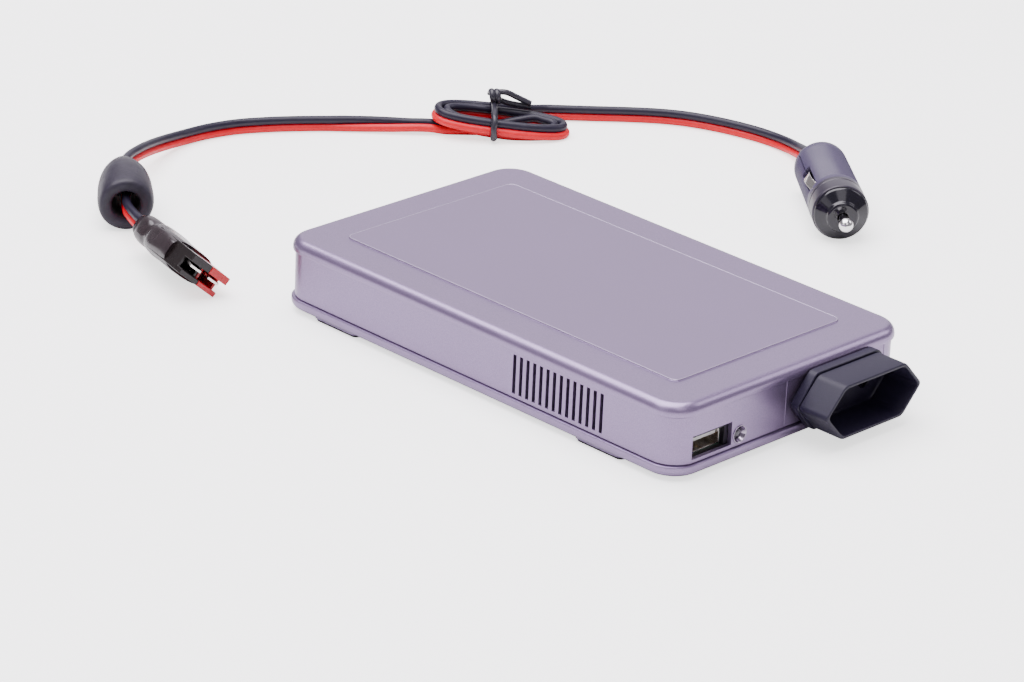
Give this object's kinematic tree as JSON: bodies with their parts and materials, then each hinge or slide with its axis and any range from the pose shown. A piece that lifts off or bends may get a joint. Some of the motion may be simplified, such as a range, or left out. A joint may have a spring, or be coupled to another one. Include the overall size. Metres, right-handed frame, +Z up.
{
  "type": "power inverter",
  "caption": "Slim metal-cased power inverter with a recessed mains socket, USB port and side vents, and a detached two-core lead with a vehicle plug.",
  "frame": {"origin": "middle of the case's underside, at the height of the feet, the lead not counted", "axes": "+Z up, +Y along the long side from the outlet end to the cable end, +X to the right seen from the outlet end"},
  "size_m": [0.2475, 0.3054, 0.0242],
  "materials": {
    "case": "satin metallic grey with a fine grain",
    "socket_black": "satin",
    "bright_metal": "bright nickel",
    "black_gloss": "gloss",
    "red_gloss": "gloss",
    "foot_rubber": "matt",
    "lamp_lens": "clear",
    "board_green": "solder mask",
    "winding_copper": "enamelled copper",
    "ferrite_grey": "matt",
    "heatsink_metal": "mill",
    "component_black": "matt",
    "screw_steel": "zinc plated",
    "shrink_sleeve": "semi-gloss",
    "plug_body": "satin",
    "cord_jacket": "satin, one core black and one red",
    "fuse_glass": "clear"
  },
  "bodies": {
    "case": {"top_cover": "case", "bottom_tray": "case", "wall_band": "case", "outlet_plate": "case", "socket_flange": "socket_black", "socket_shroud": "socket_black", "socket_contact_left": "bright_metal", "socket_contact_right": "bright_metal", "usb_shell": "bright_metal", "usb_tongue": "black_gloss", "led_bezel": "bright_metal", "led_lens": "lamp_lens", "inlet_housing_black": "black_gloss", "inlet_housing_red": "red_gloss", "inlet_contact_black": "bright_metal", "inlet_contact_red": "bright_metal", "power_switch_frame": "black_gloss", "main_board": "board_green", "transformer_core": "ferrite_grey", "transformer_winding": "winding_copper", "bulk_capacitor": "component_black", "input_capacitor": "component_black", "heatsink_input": "heatsink_metal", "heatsink_output": "heatsink_metal", "transistor_input": "component_black", "transistor_output": "component_black", "output_choke": "winding_copper", "blower_housing": "component_black", "foot_1": "foot_rubber", "foot_2": "foot_rubber", "foot_3": "foot_rubber", "foot_4": "foot_rubber", "case_screw_1": "screw_steel", "case_screw_2": "screw_steel", "case_screw_3": "screw_steel", "case_screw_4": "screw_steel"},
    "rocker": {"power_switch_rocker": "socket_black"},
    "blower_wheel": {"blower_impeller": "component_black"},
    "lead": {"cord_run_ferrite_side": "cord_jacket", "cord_run_plug_side": "cord_jacket", "cord_hank": "cord_jacket", "hank_tie": "foot_rubber", "ferrite_core": "ferrite_grey", "ferrite_sleeve": "shrink_sleeve", "connector_boot": "shrink_sleeve", "connector_housing_black": "black_gloss", "connector_housing_red": "red_gloss", "connector_contact_black": "bright_metal", "connector_contact_red": "bright_metal", "plug_body_upper": "plug_body", "plug_body_lower": "plug_body", "plug_spring": "screw_steel"},
    "nose_cap": {"plug_collar": "plug_body", "plug_nose": "black_gloss"},
    "plug_pin_set": {"plug_pin": "bright_metal", "plug_fuse": "fuse_glass"},
    "side_contact_left": {"side_contact_left": "bright_metal"},
    "side_contact_right": {"side_contact_right": "bright_metal"}
  },
  "joints": [
    {"name": "power_switch_rock", "type": "hinge", "parent": "case", "child": "rocker", "pos_m": [0.02, 0.08983, 0.0122], "axis": [0, 0, -1], "range_deg": [0, 14]},
    {"name": "blower_spin", "type": "hinge", "parent": "case", "child": "blower_wheel", "pos_m": [-0.0235, -0.0288, 0.012], "axis": [0, 0, 1], "continuous": true},
    {"name": "lead_slide", "type": "slide", "parent": "case", "child": "lead", "axis": [0, 1, 0], "range_m": [0, 0.05]},
    {"name": "nose_cap_turn", "type": "hinge", "parent": "lead", "child": "nose_cap", "pos_m": [0.12924, 0.02055, 0.0095], "axis": [-0.63, -0.7766, 0], "continuous": true},
    {"name": "plug_pin_press", "type": "slide", "parent": "lead", "child": "plug_pin_set", "axis": [0.63, 0.7766, 0], "range_m": [0, 0.003], "stiffness_N_per_m": 400, "springref_m": -0.003},
    {"name": "side_contact_left_press", "type": "hinge", "parent": "lead", "child": "side_contact_left", "pos_m": [0.13774, 0.04134, 0.01325], "axis": [0.3883, -0.315, 0.866], "range_deg": [0, 8], "stiffness_Nm_per_rad": 0.05, "springref_deg": -5.73},
    {"name": "side_contact_right_press", "type": "hinge", "parent": "lead", "child": "side_contact_right", "pos_m": [0.14783, 0.03315, 0.00575], "axis": [-0.3883, 0.315, -0.866], "range_deg": [0, 8], "stiffness_Nm_per_rad": 0.05, "springref_deg": -5.73}
  ]
}
